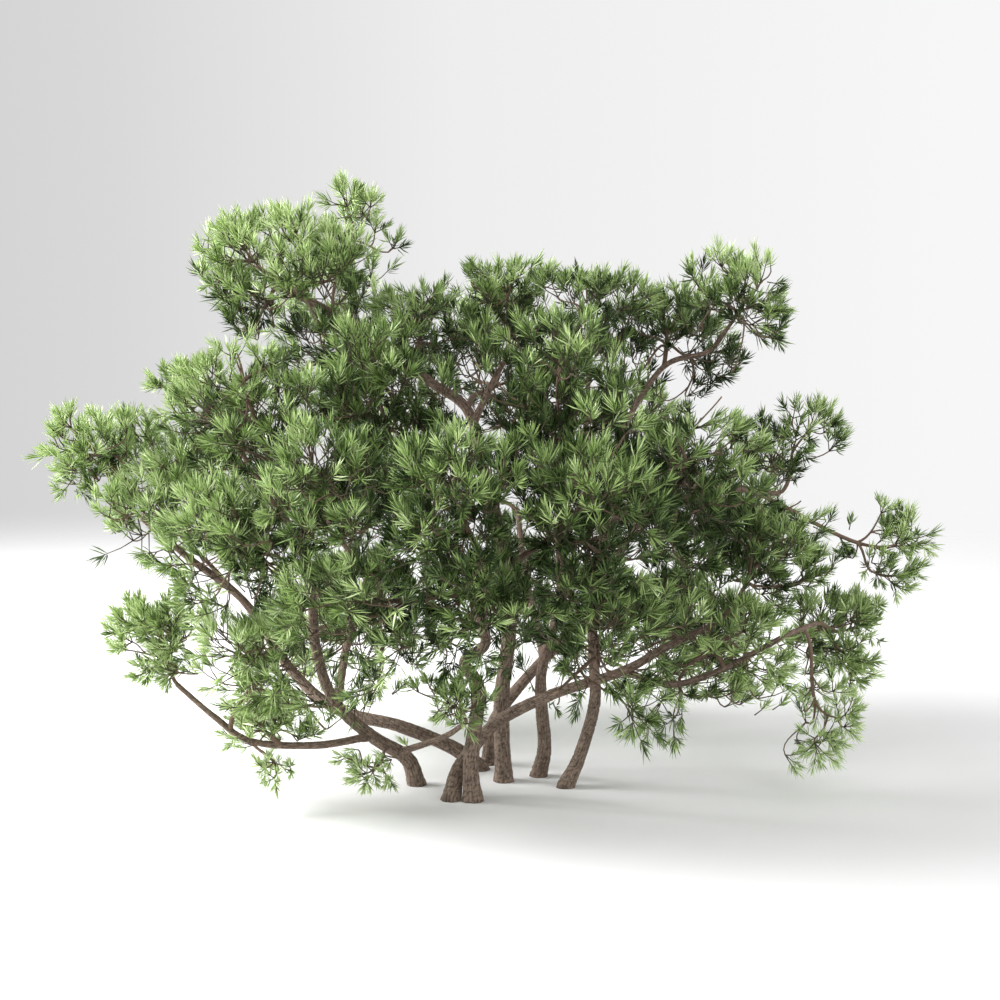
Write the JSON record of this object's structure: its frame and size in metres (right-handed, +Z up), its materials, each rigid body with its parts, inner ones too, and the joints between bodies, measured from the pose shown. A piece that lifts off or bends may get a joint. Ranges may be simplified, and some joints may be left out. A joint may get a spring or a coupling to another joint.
{
  "type": "pine tree",
  "caption": "Shrubby many-stemmed pine: bare leaning stems from one root, forking boughs and loose rounded tufts of needle shoots with gaps of sky between them.",
  "frame": {"origin": "middle of the flat cut under the middle stem, at ground level", "axes": "+Z up; +X to the viewer's right when the plant is seen from the pictured side, along its greatest width; -Y towards that viewer"},
  "size_m": [2.2651, 1.9201, 1.5472],
  "materials": {
    "bark_stem": "rough, fissured brown-grey bark",
    "bark_bough": "rough bark, slightly redder and finer than on the stems",
    "foliage": "matt green needles in sprays on thin twigs"
  },
  "bodies": {
    "root": {"stem_middle": "bark_stem", "stem_left": "bark_stem", "stem_back_left": "bark_stem", "stem_front": "bark_stem", "stem_front_right": "bark_stem", "stem_back": "bark_stem", "stem_right_inner": "bark_stem", "stem_right": "bark_stem", "bough_low_left": "bark_bough", "bough_low_front": "bark_bough", "bough_top_right": "bark_bough", "bough_top_middle": "bark_bough", "bough_back_left": "bark_bough", "bough_back": "bark_bough", "bough_front_right": "bark_bough", "bough_low_right": "bark_bough", "foliage_top_left_tip": "foliage", "foliage_top_left_outer": "foliage", "foliage_top_left_inner": "foliage", "foliage_top_left_back": "foliage", "foliage_left_shoulder": "foliage", "foliage_left_tip": "foliage", "foliage_left_upper": "foliage", "foliage_left_lower": "foliage", "foliage_left_front": "foliage", "foliage_left_back": "foliage", "foliage_left_low_front": "foliage", "foliage_top_middle_left": "foliage", "foliage_top_middle": "foliage", "foliage_top_middle_right": "foliage", "foliage_top_front_left": "foliage", "foliage_top_front_right": "foliage", "foliage_top_back": "foliage", "foliage_top_right_inner": "foliage", "foliage_top_right": "foliage", "foliage_front_left": "foliage", "foliage_front_middle": "foliage", "foliage_front_right": "foliage", "foliage_right_front": "foliage", "foliage_right_shoulder": "foliage", "foliage_right_outer": "foliage", "foliage_far_right": "foliage", "foliage_back_left": "foliage", "foliage_back_right": "foliage", "foliage_back_far_right": "foliage", "foliage_low_left": "foliage", "foliage_low_left_outer": "foliage", "foliage_low_left_under": "foliage", "foliage_low_front_left": "foliage", "foliage_low_front": "foliage", "foliage_low_front_right": "foliage", "foliage_low_right": "foliage", "foliage_low_right_outer": "foliage", "foliage_hanging_right": "foliage", "foliage_low_back_right": "foliage", "foliage_low_back": "foliage", "foliage_low_back_left": "foliage", "foliage_low_front_sprays": "foliage", "foliage_low_left_tip": "foliage", "foliage_low_middle_tip": "foliage"}
  },
  "joints": []
}
